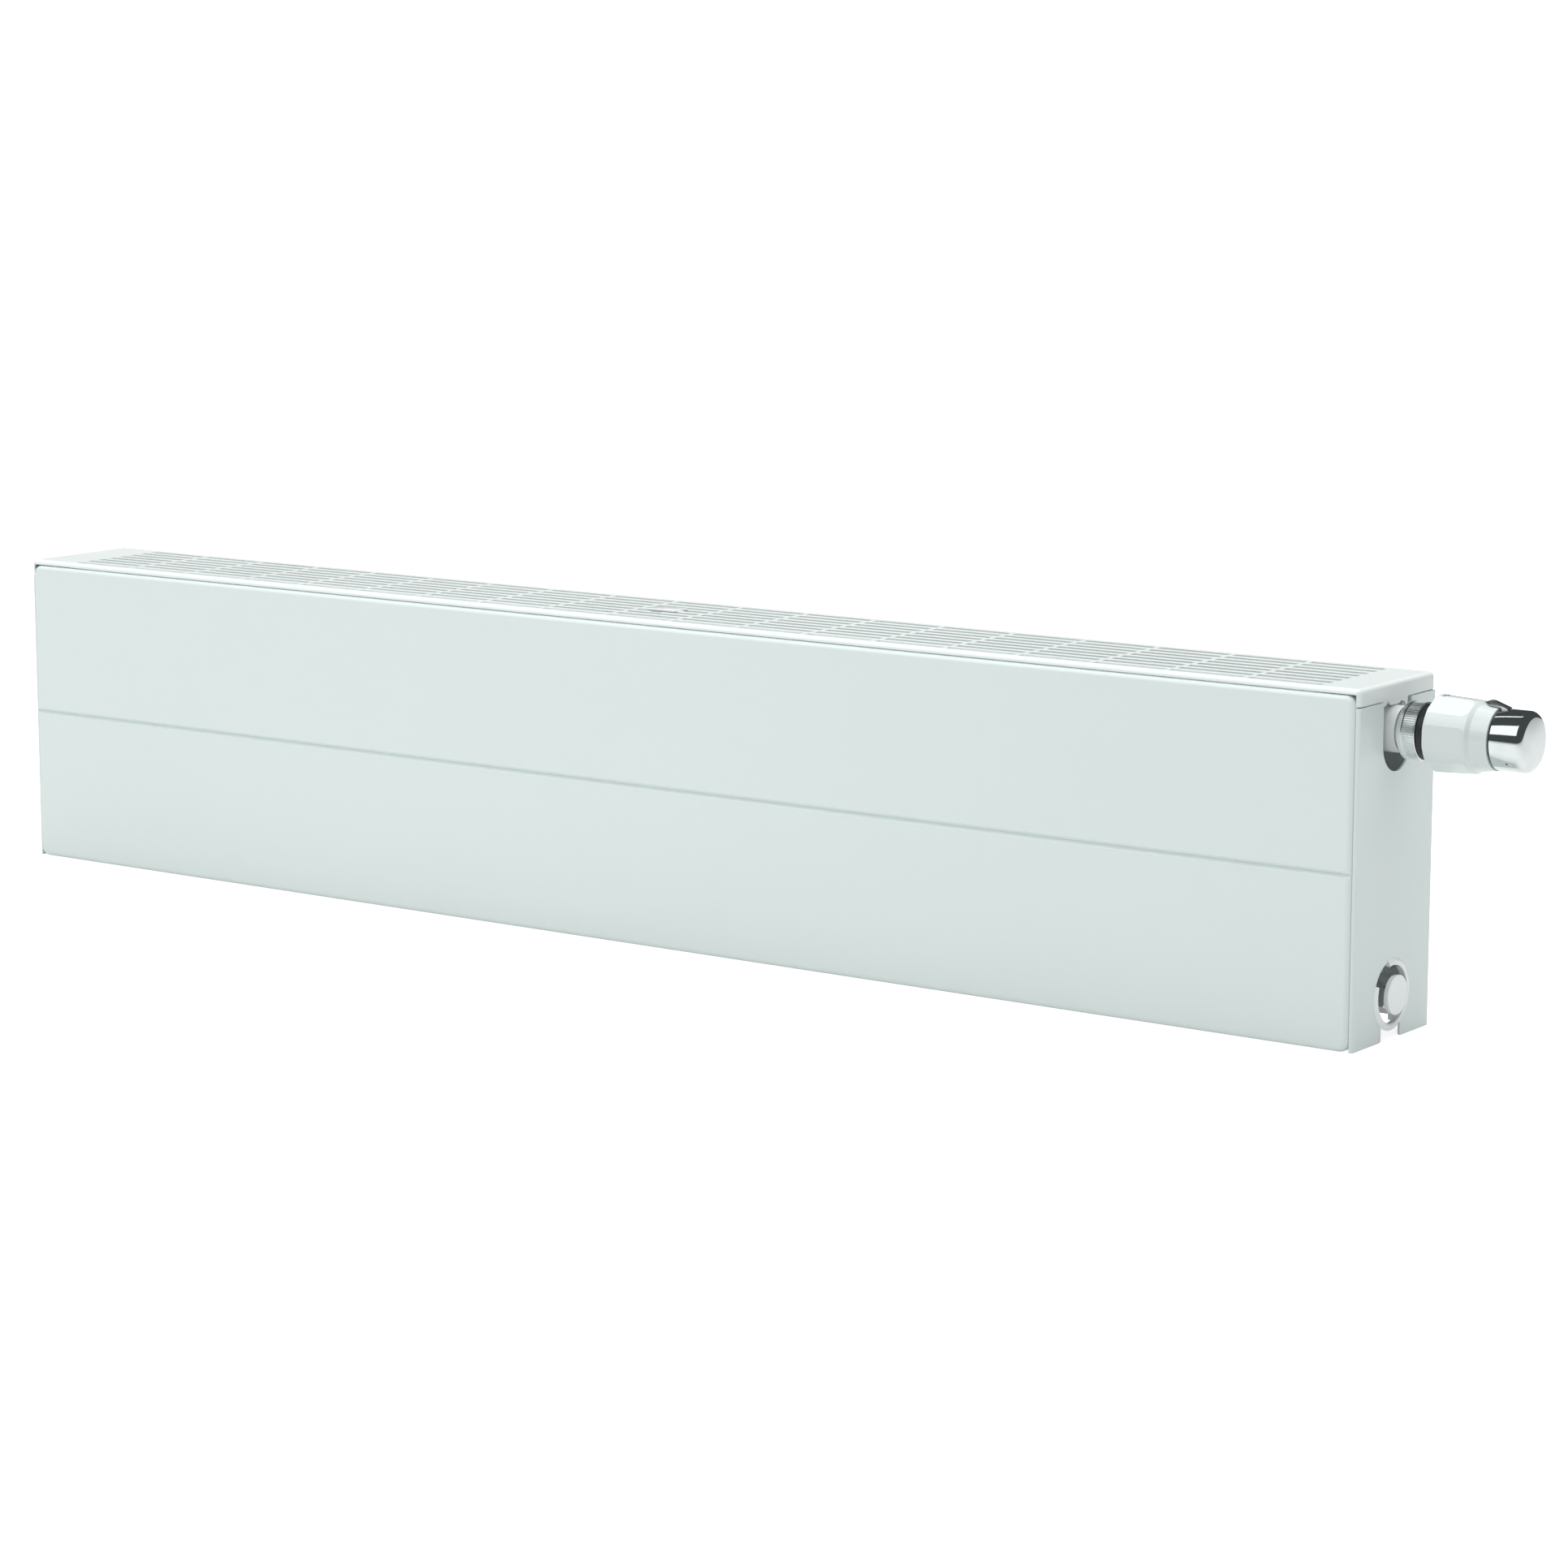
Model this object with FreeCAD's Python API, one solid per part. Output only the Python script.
import FreeCAD, Part
import math
import os

from FreeCAD import Vector

# A low plinth radiator: two water panels with two convector sheets between them, boxed in by a
# flat front plate, two side panels and a slotted top grille, with a thermostatic valve head
# on its right end.  X runs along the radiator towards the valve, the front faces -Y, Z is up.
# The origin is the centre of the whole object's footprint, at the height of its lower edges.

# ---------------------------------------------------------------- driving dimensions, mm
BODY_LENGTH = 1000.0          # over the outer faces of the two side panels
BODY_HEIGHT = 200.0           # floor edge to the top of the grille
BODY_DEPTH = 89.0             # front plate's face to the back edges
HEAD_REACH = 83.0             # how far the valve head stands out of the right side panel
PLUG_REACH = 4.2              # how far each lower plug's cap stands out of its side panel
SHEET = 1.25                  # steel sheet of the casing

OVERALL_LENGTH = BODY_LENGTH + HEAD_REACH + PLUG_REACH
RIGHT_X = OVERALL_LENGTH / 2 - HEAD_REACH
LEFT_X = RIGHT_X - BODY_LENGTH
MIDDLE_X = (LEFT_X + RIGHT_X) / 2
FRONT_Y = -BODY_DEPTH / 2
BACK_Y = BODY_DEPTH / 2

FRONT_PLATE_TOP = 196.5
FRONT_PLATE_INSET = 2.3       # each end of the front plate, inside the side panels' faces
FRONT_PLATE_FLANGE = 14.0     # how far its edges are turned back
FRONT_CORNER_R = 6.0          # its corners, seen from the front
FRONT_BEND_R = 3.2            # its bent edges
GROOVE_Z = 98.6               # the pressed line along the middle of the front
GROOVE_WIDTH = 4.0
GROOVE_DEPTH = 2.0

SIDE_SETBACK = 1.85           # side panels and grille lie this far behind the front's face
SIDE_FRONT_Y = FRONT_Y + SIDE_SETBACK
SEAM_Z = 190.4                # lower edge of the grille's end flanges
SEAM_GAP = 0.7
HEM_WIDTH = 8.0               # the side panel's front edge is folded over on itself
HEM_THICKNESS = 2.2
BACK_FLANGE = 24.0            # the side panel's back edge is folded in by this much

AXIS_Y = (SIDE_FRONT_Y + BACK_Y) / 2
UPPER_Z = 173.5               # centre height of the two upper side connections
LOWER_Z = 25.5                # centre height of the two lower side connections

SLOT_R = 16.0                 # U-shaped opening round each upper connection
SLOT_BOTTOM_CENTRE_Z = 166.0
HOLE_R = 19.2                 # round opening round each lower connection
NOTCH_WIDTH = 22.0            # pipe notch from that opening down to the lower edge

GRILLE_BEND_R = 3.0
GRILLE_FRONT_DROP = 3.0
SLOT_MODULES = 19
SLOT_MODULE_PITCH = 49.45
SLOT_LENGTH = 46.4
SLOT_ROWS = 8
SLOT_PITCH_Y = 10.0
SLOT_WIDTH = 5.0
FIRST_SLOT_FROM_LEFT = 37.5
FIRST_ROW_FROM_FRONT = 5.8

WATER_PANEL_DEPTH = 11.0      # both sheets of one panel with the waterway between them
WATER_SHEET = 1.25
WATER_END_GAP = 11.0          # water panels stop this far inside the side panels
WATER_BOTTOM_Z = 8.0
WATER_TOP_Z = 187.0
FRONT_WATER_Y = FRONT_Y + 4.2
REAR_WATER_BACK_Y = BACK_Y - 7.0
CHANNEL_PITCH = 33.0
CHANNEL_WIDTH = 22.0
HEADER_HEIGHT = 26.0

FIN_SHEET = 0.5
FIN_DEPTH = 25.4
FIN_PITCH = 33.0
FIN_BOTTOM_Z = 22.0
FIN_TOP_Z = 180.0
FIN_LEFT_MARGIN = 60.0
FIN_RIGHT_MARGIN = 112.0

TAPPING_R = 10.5              # G1/2 side connection, over the thread
TAPPING_BOSS_R = 13.0
TAPPING_FACE = 11.0           # boss ends this far inside the side panel's face
TEE_CROSS_R = 11.5
TEE_LENGTH = 34.0
NIPPLE_BORE_R = 9.3           # G1/2 bottom connection, thread's inner radius
NIPPLE_R = 13.5
NIPPLE_SPACING = 50.0
NIPPLE_BOTTOM_Z = 1.0
NIPPLE_TOP_Z = 12.4
RETURN_X = RIGHT_X - 30.0
SUPPLY_X = RETURN_X - NIPPLE_SPACING
RISER_R = 7.5
RISER_WALL = 1.0
RISER_BEND_R = 24.0

LUG_SPACING_X = 700.0
LUG_SPACING_Z = 100.0
LUG_CENTRE_Z = 98.0
LUG_WIDTH = 44.0
LUG_HEIGHT = 30.0
LUG_SHEET = 2.0
LUG_SLOT_R = 4.5
LUG_SLOT_LENGTH = 18.0

BADGE_LENGTH = 22.0
BADGE_DEPTH = 13.5

RUNNING = 0.3                 # clearance between faces that turn past each other


# ---------------------------------------------------------------- small helpers
def box(x0, x1, y0, y1, z0, z1):
    return Part.makeBox(x1 - x0, y1 - y0, z1 - z0, Vector(x0, y0, z0))


def rod_x(radius, x0, x1, y=AXIS_Y, z=UPPER_Z):
    return Part.makeCylinder(radius, x1 - x0, Vector(x0, y, z), Vector(1, 0, 0))


def rod_y(radius, y0, y1, x, z):
    return Part.makeCylinder(radius, y1 - y0, Vector(x, y0, z), Vector(0, 1, 0))


def rod_z(radius, z0, z1, x, y=AXIS_Y):
    return Part.makeCylinder(radius, z1 - z0, Vector(x, y, z0), Vector(0, 0, 1))


def turned(outline, z=UPPER_Z):
    """A solid turned about the X axis through (AXIS_Y, z) from (x, radius) points."""
    points = [Vector(x, AXIS_Y, z + radius) for x, radius in outline]
    face = Part.Face(Part.makePolygon(points + points[:1]))
    return face.revolve(Vector(0, AXIS_Y, z), Vector(1, 0, 0), 360)


def hexagon(across_flats, x0, x1, z=UPPER_Z):
    corner = across_flats / math.sqrt(3)
    points = []
    for step in range(7):
        angle = math.radians(30 + 60 * step)
        points.append(Vector(x0, AXIS_Y + corner * math.cos(angle), z + corner * math.sin(angle)))
    return Part.Face(Part.makePolygon(points)).extrude(Vector(x1 - x0, 0, 0))


def prism(points, direction):
    return Part.Face(Part.makePolygon(points + points[:1])).extrude(direction)


def fillet_where(shape, radius, wanted):
    """Round the edges for which wanted(middle of edge, length) is true."""
    edges = [edge for edge in shape.Edges if wanted(edge.CenterOfMass, edge.Length)]
    return shape.makeFillet(radius, edges)


def near(value, target, slack=0.05):
    return abs(value - target) < slack


def other_end(shape):
    """The same shape at the radiator's other end."""
    return shape.mirror(Vector(MIDDLE_X, 0, 0), Vector(1, 0, 0))


def save(node, shape):
    shape.exportStep("parts/" + node + ".step")


# ---------------------------------------------------------------- casing
def front_plate():
    """Flat tray of steel with rounded corners, turned-back edges and a pressed line."""
    x0, x1 = LEFT_X + FRONT_PLATE_INSET, RIGHT_X - FRONT_PLATE_INSET
    y1 = FRONT_Y + FRONT_PLATE_FLANGE

    def block(inset, corner, bend):
        solid = box(x0 + inset, x1 - inset, FRONT_Y + inset, y1, inset, FRONT_PLATE_TOP - inset)
        solid = fillet_where(solid, corner, lambda c, length: near(length, y1 - FRONT_Y - inset))
        return fillet_where(solid, bend, lambda c, length: near(c.y, FRONT_Y + inset, 1e-3))

    tray = block(0, FRONT_CORNER_R, FRONT_BEND_R)
    hollow = block(SHEET, FRONT_CORNER_R - SHEET, FRONT_BEND_R - SHEET)
    tray = tray.cut(hollow)
    half = GROOVE_WIDTH / 2

    def ridge(width, depth, y):
        points = [Vector(x0, y, GROOVE_Z - width), Vector(x0, y + depth, GROOVE_Z),
                  Vector(x0, y, GROOVE_Z + width)]
        return prism(points, Vector(x1 - x0, 0, 0))

    backing = ridge(half + SHEET, GROOVE_DEPTH + SHEET, FRONT_Y + SHEET / 2)
    backing = backing.common(box(x0 + SHEET / 2, x1 - SHEET / 2, FRONT_Y, y1, 0, BODY_HEIGHT))
    tray = tray.fuse(backing)
    return tray.cut(ridge(half, GROOVE_DEPTH, FRONT_Y)).removeSplitter()


def side_panel():
    """Right side panel: flat sheet, folded front edge, folded-in back edge, two openings."""
    top = SEAM_Z - SEAM_GAP
    panel = box(RIGHT_X - SHEET, RIGHT_X, SIDE_FRONT_Y, BACK_Y, 0, top)
    hem = box(RIGHT_X - HEM_THICKNESS, RIGHT_X, SIDE_FRONT_Y, SIDE_FRONT_Y + HEM_WIDTH, 0, top)
    hem = fillet_where(hem, HEM_THICKNESS - 0.1,
                       lambda c, length: near(c.x, RIGHT_X) and near(c.y, SIDE_FRONT_Y))
    panel = panel.cut(box(RIGHT_X - SHEET, RIGHT_X, SIDE_FRONT_Y, SIDE_FRONT_Y + HEM_WIDTH, 0, top))
    back_flange = box(RIGHT_X - BACK_FLANGE, RIGHT_X, BACK_Y - SHEET, BACK_Y, 0, top)
    panel = panel.multiFuse([hem, back_flange]).removeSplitter()
    reach = (RIGHT_X - 20, RIGHT_X + 5)
    round_end = rod_x(SLOT_R, *reach, z=SLOT_BOTTOM_CENTRE_Z)
    straight = box(*reach, AXIS_Y - SLOT_R, AXIS_Y + SLOT_R, SLOT_BOTTOM_CENTRE_Z, BODY_HEIGHT)
    hole = rod_x(HOLE_R, *reach, z=LOWER_Z)
    notch = box(*reach, AXIS_Y - NOTCH_WIDTH / 2, AXIS_Y + NOTCH_WIDTH / 2, -1, LOWER_Z)
    panel = panel.cut(round_end.multiFuse([straight, hole, notch]))
    for side in (-1, 1):
        corner_y = AXIS_Y + side * NOTCH_WIDTH / 2
        panel = fillet_where(panel, 1.6, lambda c, length: near(c.z, 0) and near(c.y, corner_y))
    return panel


def pipe_rosette():
    """Thin plastic ring clipped into the lower opening; open at its upper front."""
    ring = turned([
        (RIGHT_X - 3.0, 17.2), (RIGHT_X + 0.9, 16.4), (RIGHT_X + 1.3, 17.4),
        (RIGHT_X + 1.0, 18.8), (RIGHT_X + 0.1, 20.4), (RIGHT_X + 0.02, 20.4),
        (RIGHT_X + 0.02, 19.0), (RIGHT_X - 3.0, 19.0)], z=LOWER_Z)
    mouth = prism([
        Vector(RIGHT_X - 5, AXIS_Y, LOWER_Z),
        Vector(RIGHT_X - 5, AXIS_Y - 8, LOWER_Z + 30),
        Vector(RIGHT_X - 5, AXIS_Y - 30, LOWER_Z + 12)], Vector(10, 0, 0))
    return ring.cut(mouth)


def slot_bridge():
    """Pale plastic clip behind the U-shaped opening, holding grille and side panel together."""
    x0, x1 = RIGHT_X - SHEET - 2.1, RIGHT_X - SHEET - 0.1
    left, right = AXIS_Y - SLOT_R - 3, AXIS_Y + SLOT_R - 2.2
    outline = [
        (left, 192.6), (left, 181.6), (left + 3.6, 182.6), (left + 4.6, 186.8), (left + 8, 187.4),
        (left + 9.5, 189.4), (left + 12, 188.0), (left + 14, 186.9), (left + 22, 186.9),
        (left + 26, 188.2), (right - 3, 187.2), (right - 2.2, 184.0), (right, 184.0),
        (right, 192.6)]
    return prism([Vector(x0, y, z) for y, z in outline], Vector(x1 - x0, 0, 0))


def top_grille():
    """Slotted cover with rounded edges, deep end flanges and a shallow front edge."""
    top = BODY_HEIGHT

    def block(inset, bend):
        solid = box(LEFT_X + inset, RIGHT_X - inset, SIDE_FRONT_Y + inset, BACK_Y - inset,
                    SEAM_Z, top - inset)
        solid = fillet_where(solid, bend, lambda c, length: near(length, top - inset - SEAM_Z))
        return fillet_where(solid, bend, lambda c, length: near(c.z, top - inset, 1e-3))

    cover = block(0, GRILLE_BEND_R).cut(block(SHEET, GRILLE_BEND_R - SHEET))
    front_relief = box(LEFT_X + FRONT_PLATE_INSET, RIGHT_X - FRONT_PLATE_INSET,
                       SIDE_FRONT_Y - 5, SIDE_FRONT_Y + HEM_WIDTH,
                       SEAM_Z - 1, top - GRILLE_FRONT_DROP)
    cover = cover.cut(front_relief)
    slots = []
    for module in range(SLOT_MODULES):
        x = LEFT_X + FIRST_SLOT_FROM_LEFT + module * SLOT_MODULE_PITCH
        for row in range(SLOT_ROWS):
            y = FRONT_Y + FIRST_ROW_FROM_FRONT + row * SLOT_PITCH_Y
            slots.append(box(x, x + SLOT_LENGTH, y, y + SLOT_WIDTH, top - 5, top + 5))
    return cover.cut(Part.makeCompound(slots))


def grille_badge():
    """Blank plate pressed on the middle of the grille, with two snap legs through the slots."""
    plate = box(MIDDLE_X - BADGE_LENGTH / 2, MIDDLE_X + BADGE_LENGTH / 2,
                AXIS_Y - BADGE_DEPTH / 2, AXIS_Y + BADGE_DEPTH / 2, BODY_HEIGHT, BODY_HEIGHT + 1.2)
    plate = fillet_where(plate, 1.5, lambda c, length: near(length, 1.2))
    legs = []
    for row in (3, 4):
        y = FRONT_Y + FIRST_ROW_FROM_FRONT + row * SLOT_PITCH_Y
        if row == 3:
            y = y + SLOT_WIDTH - 1.8
        legs.append(box(MIDDLE_X - 4, MIDDLE_X + 4, y + 0.2, y + 1.6, BODY_HEIGHT - 4, BODY_HEIGHT))
    return plate.multiFuse(legs)


def grille_springs():
    """Four spring clips on top of the water panels, pressing inside the grille's edges."""
    springs = []
    for x in (LEFT_X + 160, RIGHT_X - 160):
        for y0, y1 in ((FRONT_WATER_Y + 1, FRONT_WATER_Y + 10),
                       (REAR_WATER_BACK_Y - 10, REAR_WATER_BACK_Y - 1)):
            clip = box(x - 9, x + 9, y0, y1, WATER_TOP_Z, WATER_TOP_Z + 8)
            clip = clip.cut(box(x - 10, x + 10, y0 + 0.8, y1 - 0.8,
                                WATER_TOP_Z + 0.8, WATER_TOP_Z + 12))
            springs.append(clip)
    return Part.makeCompound(springs)


# ---------------------------------------------------------------- water panels and convectors
WATER_X0 = LEFT_X + WATER_END_GAP
WATER_X1 = RIGHT_X - WATER_END_GAP
FRONT_JOINT_Y = FRONT_WATER_Y + WATER_PANEL_DEPTH / 2
REAR_JOINT_Y = REAR_WATER_BACK_Y - WATER_PANEL_DEPTH / 2
FRONT_WATER_BACK_Y = FRONT_WATER_Y + WATER_PANEL_DEPTH
REAR_WATER_FRONT_Y = REAR_WATER_BACK_Y - WATER_PANEL_DEPTH


def channel_bars(depth, shrink, y_root):
    """The pressed waterways: two headers along X and a row of uprights, as solid bars."""
    def bar(x0, x1, z0, z1):
        slope = depth * 0.8
        low = [Vector(x0, y_root, z0), Vector(x1, y_root, z0),
               Vector(x1, y_root, z1), Vector(x0, y_root, z1)]
        y_crest = y_root + depth
        high = [Vector(x0 + slope, y_crest, z0 + slope), Vector(x1 - slope, y_crest, z0 + slope),
                Vector(x1 - slope, y_crest, z1 - slope), Vector(x0 + slope, y_crest, z1 - slope)]
        return Part.makeLoft([Part.makePolygon(low + low[:1]), Part.makePolygon(high + high[:1])],
                             True, True)

    margin = 5.0 + shrink
    z0, z1 = WATER_BOTTOM_Z + margin, WATER_TOP_Z - margin
    header = HEADER_HEIGHT - 2 * shrink
    bars = [bar(WATER_X0 + margin, WATER_X1 - margin, z0, z0 + header),
            bar(WATER_X0 + margin, WATER_X1 - margin, z1 - header, z1)]
    span = WATER_X1 - WATER_X0 - 2 * CHANNEL_PITCH
    count = int(span / CHANNEL_PITCH) + 1
    first = MIDDLE_X - (count - 1) * CHANNEL_PITCH / 2
    half = CHANNEL_WIDTH / 2 - shrink
    for index in range(count):
        x = first + index * CHANNEL_PITCH
        bars.append(bar(x - half, x + half, z0 + 2, z1 - 2))
    return bars


def pressed_sheet():
    """One pressed sheet: flat at the front joint, its waterways standing back from it."""
    depth = WATER_PANEL_DEPTH / 2 - WATER_SHEET
    sheet = box(WATER_X0, WATER_X1, FRONT_JOINT_Y, FRONT_JOINT_Y + WATER_SHEET,
                WATER_BOTTOM_Z, WATER_TOP_Z)
    raised = channel_bars(depth, 0, FRONT_JOINT_Y + WATER_SHEET)
    hollow = channel_bars(depth, WATER_SHEET, FRONT_JOINT_Y)
    return sheet.multiFuse(raised).cut(Part.makeCompound(hollow)).removeSplitter()


def folded_sheet(outline, thickness):
    """Closed outline of a folded sheet: the given line and the same line set off to its left."""
    def left_normal(start, end):
        dx, dy = end[0] - start[0], end[1] - start[1]
        length = math.hypot(dx, dy)
        return (-dy / length, dx / length)

    normals = [left_normal(*pair) for pair in zip(outline, outline[1:])]
    offset = []
    for index, (x, y) in enumerate(outline):
        before = normals[max(index - 1, 0)]
        after = normals[min(index, len(normals) - 1)]
        share = thickness / (1 + before[0] * after[0] + before[1] * after[1])
        offset.append((x + share * (before[0] + after[0]), y + share * (before[1] + after[1])))
    return outline + offset[::-1]


def convector(y0, y1):
    """Fin sheet folded into upright flutes, its lands lying on the water panel at y0."""
    x = LEFT_X + FIN_LEFT_MARGIN
    end = RIGHT_X - FIN_RIGHT_MARGIN
    land = FIN_PITCH * 0.36
    lean = FIN_PITCH / 2 - land
    crest = []
    while x + FIN_PITCH <= end:
        crest += [(x, y0), (x + land, y0), (x + land + lean, y1), (x + 2 * land + lean, y1)]
        x += FIN_PITCH
    crest += [(x, y0), (x + land, y0)]
    thickness = FIN_SHEET if y1 > y0 else -FIN_SHEET
    outline = [Vector(px, py, FIN_BOTTOM_Z) for px, py in folded_sheet(crest, thickness)]
    return prism(outline, Vector(0, 0, FIN_TOP_Z - FIN_BOTTOM_Z))


def hanging_lugs():
    """Four hat-shaped lugs welded to the back, each with a level slot for the wall hook."""
    lugs = []
    for sx in (-0.5, 0.5):
        for sz in (-0.5, 0.5):
            x = MIDDLE_X + sx * LUG_SPACING_X
            z = LUG_CENTRE_Z + sz * LUG_SPACING_Z
            y0, y1 = REAR_WATER_BACK_Y, BACK_Y
            lug = box(x - LUG_WIDTH / 2, x + LUG_WIDTH / 2, y0, y1,
                      z - LUG_HEIGHT / 2, z + LUG_HEIGHT / 2)
            under = box(x - LUG_WIDTH / 2 + 8, x + LUG_WIDTH / 2 - 8, y0 - 1, y1 - LUG_SHEET,
                        z - LUG_HEIGHT, z + LUG_HEIGHT)
            straight = LUG_SLOT_LENGTH / 2 - LUG_SLOT_R
            slot = box(x - straight, x + straight, y0 - 1, y1 + 1, z - LUG_SLOT_R, z + LUG_SLOT_R)
            ends = [rod_y(LUG_SLOT_R, y0 - 1, y1 + 1, x + end * straight, z) for end in (-1, 1)]
            lugs.append(lug.cut(under.multiFuse([slot] + ends)))
    return Part.makeCompound(lugs)


# ---------------------------------------------------------------- pipework
def tee(z, boss_end):
    """Corner connection at the right end: a cross tube between panels and a threaded boss."""
    start = RIGHT_X - TAPPING_FACE - TEE_LENGTH
    cross_x = start + TEE_CROSS_R + 2
    cross = rod_y(TEE_CROSS_R, FRONT_WATER_BACK_Y, REAR_WATER_FRONT_Y, cross_x, z)
    boss = rod_x(TAPPING_BOSS_R, start, boss_end, z=z)
    bore = rod_x(TAPPING_R, start + 2, boss_end + 1, z=z)
    through = rod_y(TEE_CROSS_R - 2, FRONT_WATER_BACK_Y - 1, REAR_WATER_FRONT_Y + 1, cross_x, z)
    return cross.fuse(boss).cut(bore).cut(through)


def valve_housing():
    """Upper right connection: its boss reaches out to the head, its back end takes the riser."""
    body = tee(UPPER_Z, RIGHT_X + 4.8)
    return body.cut(rod_x(RISER_R - RISER_WALL, RIGHT_X - 60, RIGHT_X - 30))


def lower_tee():
    """Lower right connection, with a branch down to the return nipple."""
    branch = rod_z(NIPPLE_R - 2, NIPPLE_TOP_Z, LOWER_Z - 4, RETURN_X)
    body = tee(LOWER_Z, RIGHT_X - TAPPING_FACE).fuse(branch)
    body = body.cut(rod_x(TAPPING_R, RETURN_X - 11, RIGHT_X, z=LOWER_Z))
    return body.cut(rod_z(NIPPLE_BORE_R - 1, 0, LOWER_Z, RETURN_X))


def nipple(x):
    """Bottom connection socket for a G1/2 thread, drawn with a smooth bore."""
    body = rod_z(NIPPLE_R, NIPPLE_BOTTOM_Z, NIPPLE_TOP_Z, x)
    return body.cut(rod_z(NIPPLE_BORE_R, 0, NIPPLE_TOP_Z + 1, x))


def riser_pipe():
    """Supply pipe from its nipple up and over to the valve housing."""
    end_x = RIGHT_X - TAPPING_FACE - TEE_LENGTH
    corner_z = UPPER_Z - RISER_BEND_R
    corner_x = SUPPLY_X + RISER_BEND_R

    def tube(radius, extra):
        upright = rod_z(radius, NIPPLE_TOP_Z - extra, corner_z, SUPPLY_X)
        level = rod_x(radius, corner_x, end_x + extra)
        ring = Part.makeTorus(RISER_BEND_R, radius, Vector(corner_x, AXIS_Y, corner_z), Vector(0, 1, 0))
        quarter = box(SUPPLY_X - radius, corner_x, AXIS_Y - 20, AXIS_Y + 20, corner_z, UPPER_Z + radius)
        return upright.multiFuse([level, ring.common(quarter)])

    return tube(RISER_R, 0).cut(tube(RISER_R - RISER_WALL, 1))


def side_plug():
    """Chrome blanking plug: threaded shank and a hexagonal head."""
    face = RIGHT_X - TAPPING_FACE
    shank = rod_x(TAPPING_R - 0.05, face - 9, face + 0.01, z=LOWER_Z)
    collar = rod_x(12.4, face + 1.5, face + 3.0, z=LOWER_Z)
    neck = rod_x(TAPPING_R - 0.05, face, face + 1.5, z=LOWER_Z)
    head = hexagon(20.0, face + 3.0, RIGHT_X + 1.4, z=LOWER_Z)
    bounds = turned([(face + 3.0, 0), (face + 3.0, 11.4), (RIGHT_X + 0.4, 11.4),
                     (RIGHT_X + 1.4, 10.4), (RIGHT_X + 1.4, 0)], z=LOWER_Z)
    return shank.multiFuse([neck, collar, head.common(bounds)])


def plug_cap():
    """Flat white disc closing the plug's hexagon."""
    return turned([(RIGHT_X + 1.4, 0), (RIGHT_X + 1.4, 11.0), (RIGHT_X + PLUG_REACH - 0.3, 11.2),
                   (RIGHT_X + PLUG_REACH, 10.9), (RIGHT_X + PLUG_REACH, 0)], z=LOWER_Z)


def tapping_seal(z):
    """Flat fibre ring between a boss and the collar of what is screwed into it."""
    face = RIGHT_X - TAPPING_FACE
    ring = rod_x(12.4, face, face + 1.5, z=z)
    return ring.cut(rod_x(TAPPING_R + 0.05, face - 1, face + 3, z=z))


def vent_body():
    """Air vent plug in the upper tapping opposite the valve, drawn at the right end."""
    face = RIGHT_X - TAPPING_FACE
    shank = rod_x(TAPPING_R - 0.05, face - 9, face + 1.5)
    collar = rod_x(12.4, face + 1.5, face + 3.0)
    head = hexagon(18.0, face + 3.0, face + 6.0)
    body = shank.multiFuse([collar, head])
    body = body.cut(rod_x(4.0, face - 4, face + 8))
    body = body.cut(rod_x(1.2, face - 10, face))
    outlet = Part.makeCylinder(0.9, 14, Vector(face + 4.5, AXIS_Y, UPPER_Z), Vector(0, 0, -1))
    return body.cut(outlet)


def vent_screw():
    """Slotted screw in the vent plug, with a square key end and a cone point."""
    face = RIGHT_X - TAPPING_FACE
    thread = turned([(face - 3.9, 0), (face - 3.2, 1.0), (face - 1.5, 3.95), (face + 5.6, 3.95),
                     (face + 5.6, 0)])
    square = box(face + 5.6, face + 8.6, AXIS_Y - 2.5, AXIS_Y + 2.5, UPPER_Z - 2.5, UPPER_Z + 2.5)
    slot = box(face + 7.6, face + 9, AXIS_Y - 0.5, AXIS_Y + 0.5, UPPER_Z - 4, UPPER_Z + 4)
    return thread.fuse(square).cut(slot)


# ---------------------------------------------------------------- valve insert
COLLAR_R = 14.6               # M30 x 1.5 connection thread of the valve insert


def valve_insert():
    """Brass insert screwed into the upper right housing, with the head's thread collar."""
    x = RIGHT_X
    body = turned([
        (x - 31.0, 4.6), (x - 31.0, 10.45), (x + 4.9, 10.45), (x + 4.9, 12.4), (x + 7.2, 12.4),
        (x + 7.2, COLLAR_R), (x + 14.0, COLLAR_R), (x + 14.0, 8.0), (x + 16.6, 8.0),
        (x + 16.6, 2.15), (x + 6.0, 2.15), (x + 6.0, 6.2), (x - 18, 6.2), (x - 18, 8.6),
        (x - 28.65, 8.6), (x - 28.65, 4.6)])
    windows = []
    for step in range(4):
        window = rod_z(2.6, UPPER_Z, UPPER_Z + 12, x - 22.5)
        window.rotate(Vector(x, AXIS_Y, UPPER_Z), Vector(1, 0, 0), 90 * step + 45)
        windows.append(window)
    return body.cut(Part.makeCompound(windows))


def presetting_ring():
    """Turning flow limiter on the insert's nose, with a row of key teeth."""
    x = RIGHT_X
    ring = turned([(x + 14.05, 8.05), (x + 14.05, 9.6), (x + 16.5, 9.6), (x + 16.5, 8.05)])
    teeth = []
    for step in range(12):
        tooth = box(x + 15.4, x + 17.5, AXIS_Y - 1.0, AXIS_Y + 1.0, UPPER_Z + 8.0, UPPER_Z + 10.4)
        tooth.rotate(Vector(x, AXIS_Y, UPPER_Z), Vector(1, 0, 0), 30 * step)
        teeth.append(tooth)
    return ring.cut(Part.makeCompound(teeth))


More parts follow.
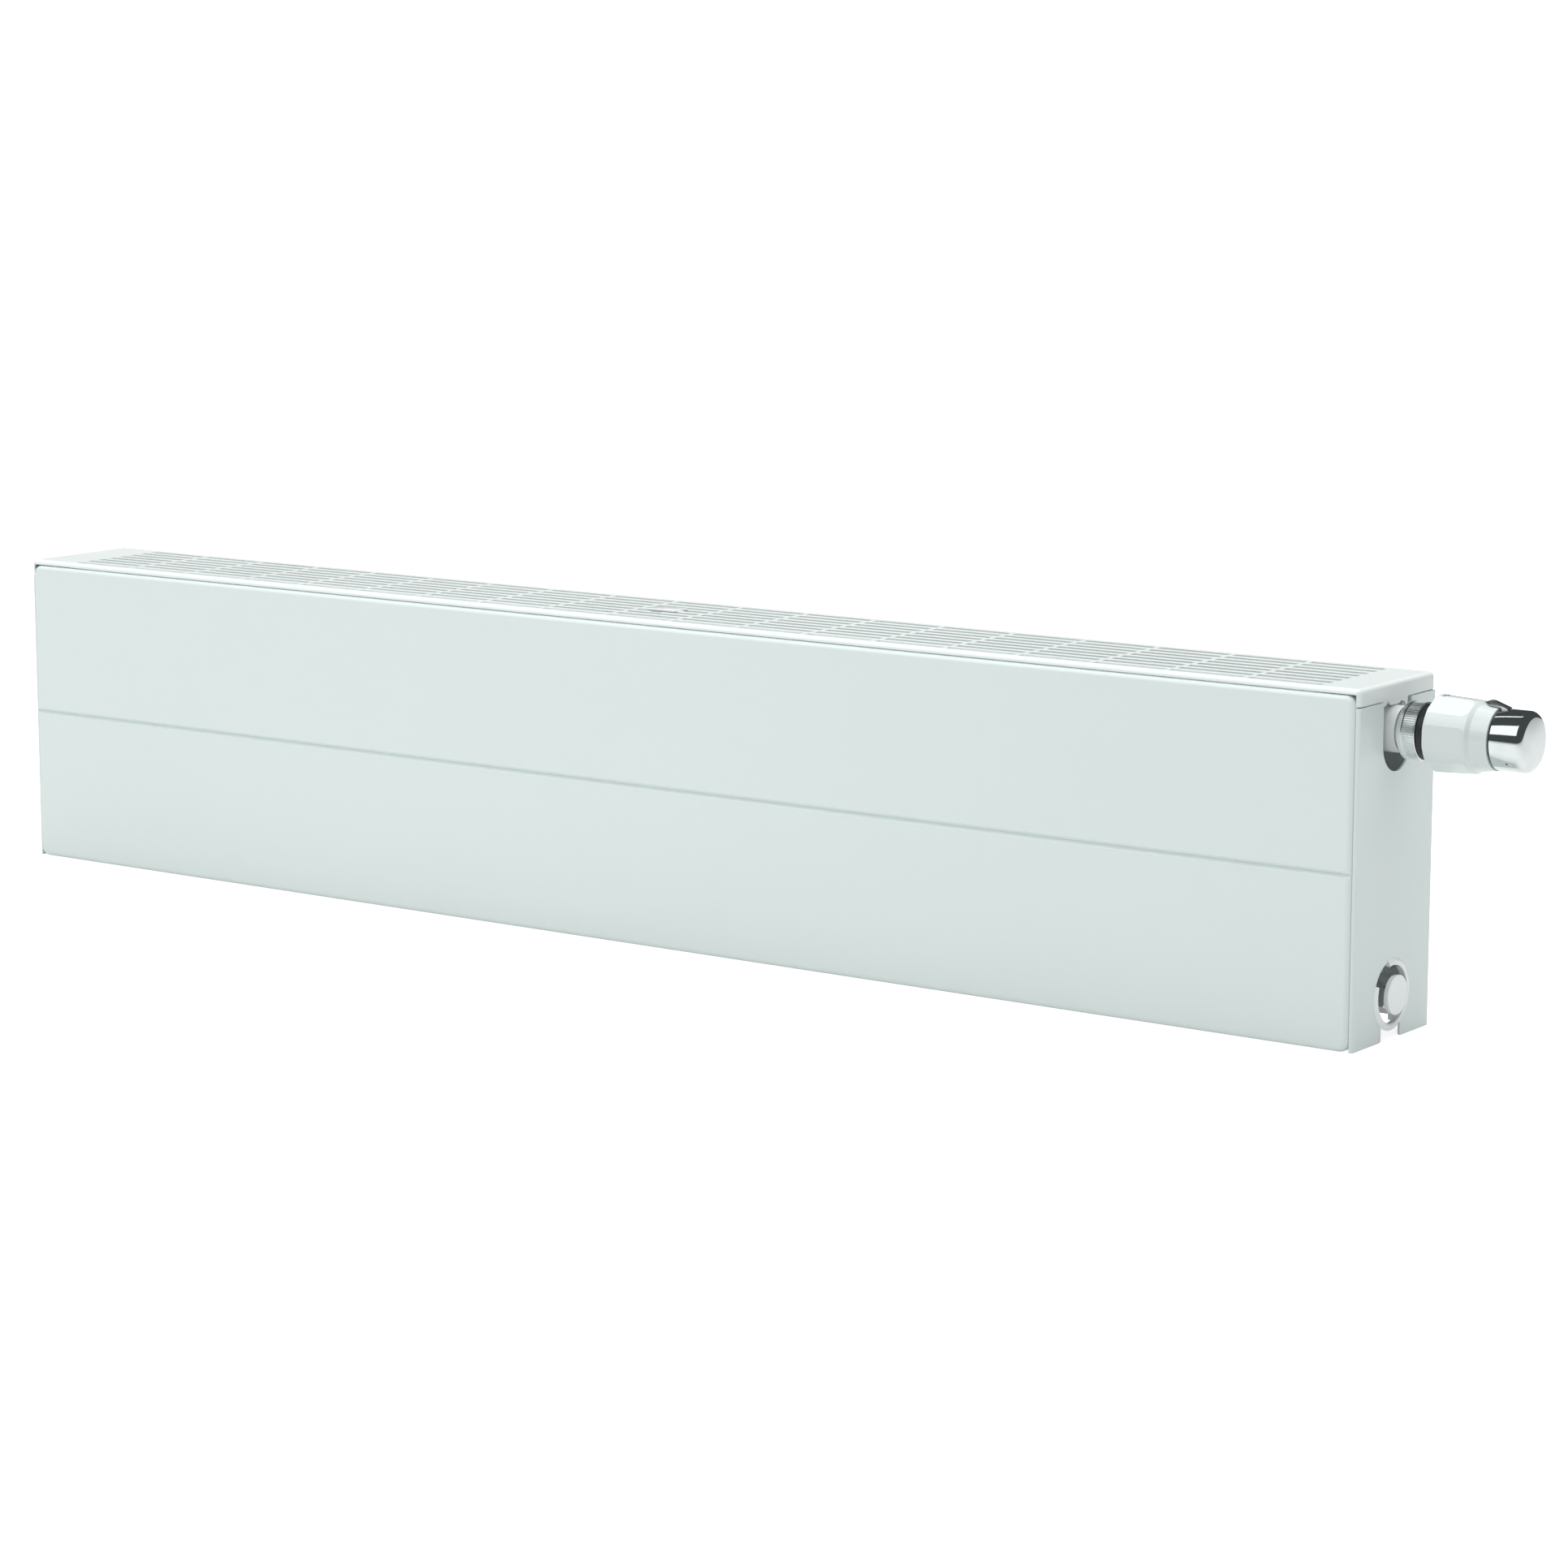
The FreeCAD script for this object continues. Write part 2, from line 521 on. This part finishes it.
def valve_stem():
    """Steel pin through the insert, with the shoulder that its spring pushes on."""
    x = RIGHT_X
    return turned([(x - 24.5, 0), (x - 24.5, 2.0), (x - 16, 2.0), (x - 16, 3.9), (x - 14.5, 3.9),
                   (x - 14.5, 2.08), (x + 19.0, 2.08), (x + 19.6, 1.4), (x + 19.6, 0)])


def valve_disc():
    """Rubber closing disc on the stem's inner end."""
    x = RIGHT_X
    return turned([(x - 27.5, 0), (x - 27.5, 5.4), (x - 24.5, 6.4), (x - 24.5, 0)])


def stem_spring():
    """Coil that pushes the stem's shoulder, drawn as separate level turns."""
    turns = []
    for step in range(8):
        centre = Vector(RIGHT_X - 12.6 + 2.1 * step, AXIS_Y, UPPER_Z)
        ring = Part.makeTorus(4.3, 0.45, centre, Vector(1, 0, 0))
        turns.append(ring)
    return Part.makeCompound(turns)


def stem_seal():
    """O-ring in the insert's nose."""
    return Part.makeTorus(3.4, 1.0, Vector(RIGHT_X + 4.6, AXIS_Y, UPPER_Z), Vector(1, 0, 0))


# ---------------------------------------------------------------- thermostatic head
NUT_START = RIGHT_X + 7.6
NUT_END = RIGHT_X + 18.5
NUT_R = 16.2
BODY_START = RIGHT_X + 25.2
SHOULDER_X = RIGHT_X + 51.0
BODY_END = RIGHT_X + 62.0
CAP_START = RIGHT_X + 63.2
HEAD_END = RIGHT_X + HEAD_REACH
KNURLS = 72
BODY_R = 21.3
FLUTE_FLOOR_START = 20.1
FLUTE_FLOOR_END = 18.95
CAP_R = 16.9
CAP_DOME_R = 105.0
CAP_CORNER_R = 3.2
CAP_WALL = 1.3


def union_nut():
    """Knurled chrome nut that pulls the head onto the insert's thread collar."""
    x0, x1 = NUT_START, NUT_END
    blank = turned([
        (x0, COLLAR_R + RUNNING), (x0, NUT_R - 0.9), (x0 + 0.5, NUT_R), (x0 + 2.6, NUT_R),
        (x0 + 2.9, NUT_R - 0.4), (x0 + 3.2, NUT_R), (x1 - 0.8, NUT_R), (x1, NUT_R - 0.6),
        (x1, 13.3), (x1 - 1.8, 13.3), (x1 - 1.8, COLLAR_R + RUNNING)])
    grooves = []
    for step in range(KNURLS):
        angle = 360.0 / KNURLS * step
        groove = rod_x(0.5, x0 + 3.2, x1 + 3.2, z=UPPER_Z + NUT_R + 0.12)
        groove.rotate(Vector(x0, AXIS_Y, UPPER_Z), Vector(1, 0, 0), angle)
        grooves.append(groove)
    return blank.cut(Part.makeCompound(grooves))


def head_base():
    """Black plastic base: a flange held by the nut, a neck and the collar behind the body."""
    x = RIGHT_X
    return turned([
        (x + 14.3, 10.9), (x + 14.3, 14.4), (x + 16.3, 14.4), (x + 16.3, 13.0),
        (x + 18.8, 13.0), (x + 18.8, 15.4), (x + 20.0, 15.9), (BODY_START + 4, 15.9),
        (BODY_START + 4, 4.2), (x + 21.0, 4.2), (x + 21.0, 10.9)])


def flute_cutter():
    """One flute's cutter: a flat floor that falls with the body's taper, with a rounded end."""
    x0, x1 = BODY_START - 2, SHOULDER_X - 1.6
    half = 7.6
    corner = 5.0
    side = [Vector(x0, AXIS_Y - half, UPPER_Z + FLUTE_FLOOR_START),
            Vector(x1, AXIS_Y - half, UPPER_Z + FLUTE_FLOOR_END),
            Vector(x1, AXIS_Y - half, UPPER_Z + 30), Vector(x0, AXIS_Y - half, UPPER_Z + 30)]
    block = prism(side, Vector(0, 2 * half, 0))
    return fillet_where(block, corner,
                        lambda c, length: near(c.x, x1) and near(abs(c.y - AXIS_Y), half))


def head_body():
    """White shell: six broad flutes up to the shoulder, then a plain tapering nose."""
    x0, x1 = BODY_START, BODY_END
    outer = [(x0, BODY_R), (SHOULDER_X - 1.0, BODY_R - 1.15), (SHOULDER_X + 1.2, 18.75), (x1, 17.4)]
    inner = [(x1, 15.6), (SHOULDER_X - 2, 16.2), (x0 + 4, 17.0), (x0 + 4, 16.0), (x0, 16.0)]
    shell = turned(outer + inner)
    shell = fillet_where(shell, 1.1, lambda c, length: near(c.x, x0) and length > 120)
    shell = fillet_where(shell, 0.8, lambda c, length: near(c.x, SHOULDER_X - 1.0))
    for step in range(6):
        cutter = flute_cutter()
        cutter.rotate(Vector(x0, AXIS_Y, UPPER_Z), Vector(1, 0, 0), 60 * step + 30)
        shell = shell.cut(cutter)
    return shell


def pointer_tab():
    """Raised finger tab on the cap, tapering to a point over the body's nose."""
    x0 = CAP_START
    side = [(x0 - 10.7, 19.1), (x0 - 7.4, 20.9), (x0 - 5.0, 20.9), (x0 + 4.4, 17.2),
            (x0 + 4.4, 16.2), (x0 + 0.2, 16.2), (x0 + 0.2, 17.7), (x0 - 1.2, 17.75)]
    tab = prism([Vector(x, AXIS_Y - 8, UPPER_Z + r) for x, r in side], Vector(0, 16, 0))
    plan = [(x0 - 11.3, -0.6), (x0 - 6.4, -4.2), (x0 + 5.0, -3.2),
            (x0 + 5.0, 3.2), (x0 - 6.4, 4.2), (x0 - 11.3, 0.6)]
    tab = tab.common(prism([Vector(x, AXIS_Y + y, UPPER_Z) for x, y in plan], Vector(0, 0, 30)))
    section = [(-6.0, 15.0), (-1.7, 21.4), (1.7, 21.4), (6.0, 15.0)]
    return tab.common(prism([Vector(x0 - 14, AXIS_Y + y, UPPER_Z + r) for y, r in section],
                            Vector(30, 0, 0)))


def setting_cap():
    """Chrome cap that is turned to set the room temperature, with its pointer tab."""
    dome = Part.makeSphere(CAP_DOME_R, Vector(HEAD_END - CAP_DOME_R, AXIS_Y, UPPER_Z))
    solid = rod_x(CAP_R, CAP_START, HEAD_END + 1).common(dome)
    solid = fillet_where(solid, CAP_CORNER_R,
                         lambda c, length: c.x > CAP_START + 1 and length > 50)
    hollow = rod_x(CAP_R - CAP_WALL, CAP_START - 1, HEAD_END - CAP_CORNER_R - 1)
    return solid.cut(hollow).fuse(pointer_tab())


def cap_bearing():
    """Black sleeve of the cap that runs inside the body's nose."""
    x0 = CAP_START
    return turned([(x0 - 6.0, 13.9), (x0 - 6.0, 15.25), (x0, 15.25), (x0, 15.5), (x0 + 6, 15.5),
                   (x0 + 6, 13.9)])


def sensor_cartridge():
    """Fluid sensor with its bellows folds, moved along by turning the cap."""
    x0 = BODY_START + 9.0
    x1 = CAP_START + 9.0
    outline = [(x0, 0), (x0, 11.6), (x0 + 7, 11.6)]
    for fold in range(4):
        x = x0 + 8 + 3 * fold
        outline += [(x, 9.6), (x + 0.6, 9.6), (x + 1.2, 11.6), (x + 2.0, 11.6)]
    outline += [(x1, 11.6), (x1, 0)]
    return turned(outline)


def push_pin():
    """Plastic pin between the sensor and the valve stem."""
    return rod_x(3.0, RIGHT_X + 19.65, BODY_START + 8.95)


# ---------------------------------------------------------------- write every node
os.makedirs("parts", exist_ok=True)

save("front_plate", front_plate())
save("right_side_panel", side_panel())
save("left_side_panel", other_end(side_panel()))
save("right_pipe_rosette", pipe_rosette())
save("left_pipe_rosette", other_end(pipe_rosette()))
save("right_slot_bridge", slot_bridge())
save("left_slot_bridge", other_end(slot_bridge()))
save("top_grille", top_grille())
save("grille_badge", grille_badge())
save("grille_springs", grille_springs())

back_sheet = pressed_sheet()
front_sheet = back_sheet.mirror(Vector(0, FRONT_JOINT_Y, 0), Vector(0, 1, 0))
rear_panel_shift = Vector(0, REAR_JOINT_Y - FRONT_JOINT_Y, 0)
save("front_water_panel_outer", front_sheet)
save("front_water_panel_inner", back_sheet)
save("rear_water_panel_inner", front_sheet.translated(rear_panel_shift))
save("rear_water_panel_outer", back_sheet.translated(rear_panel_shift))
save("front_convector", convector(FRONT_WATER_BACK_Y, FRONT_WATER_BACK_Y + FIN_DEPTH))
save("rear_convector", convector(REAR_WATER_FRONT_Y, REAR_WATER_FRONT_Y - FIN_DEPTH))
save("hanging_lugs", hanging_lugs())

save("valve_housing", valve_housing())
save("return_tee", lower_tee())
save("vent_tee", other_end(tee(UPPER_Z, RIGHT_X - TAPPING_FACE)))
save("drain_tee", other_end(tee(LOWER_Z, RIGHT_X - TAPPING_FACE)))
save("return_nipple", nipple(RETURN_X))
save("supply_nipple", nipple(SUPPLY_X))
save("riser_pipe", riser_pipe())

save("right_plug", side_plug())
save("left_plug", other_end(side_plug()))
save("right_plug_cap", plug_cap())
save("left_plug_cap", other_end(plug_cap()))
save("right_plug_seal", tapping_seal(LOWER_Z))
save("left_plug_seal", other_end(tapping_seal(LOWER_Z)))
save("vent_seal", other_end(tapping_seal(UPPER_Z)))
save("vent_body", other_end(vent_body()))
save("vent_screw", other_end(vent_screw()))

save("valve_insert", valve_insert())
save("presetting_ring", presetting_ring())
save("valve_stem", valve_stem())
save("valve_disc", valve_disc())
save("stem_spring", stem_spring())
save("stem_seal", stem_seal())

save("union_nut", union_nut())
save("head_base", head_base())
save("head_body", head_body())
save("setting_cap", setting_cap())
save("cap_bearing", cap_bearing())
save("sensor_cartridge", sensor_cartridge())
save("push_pin", push_pin())
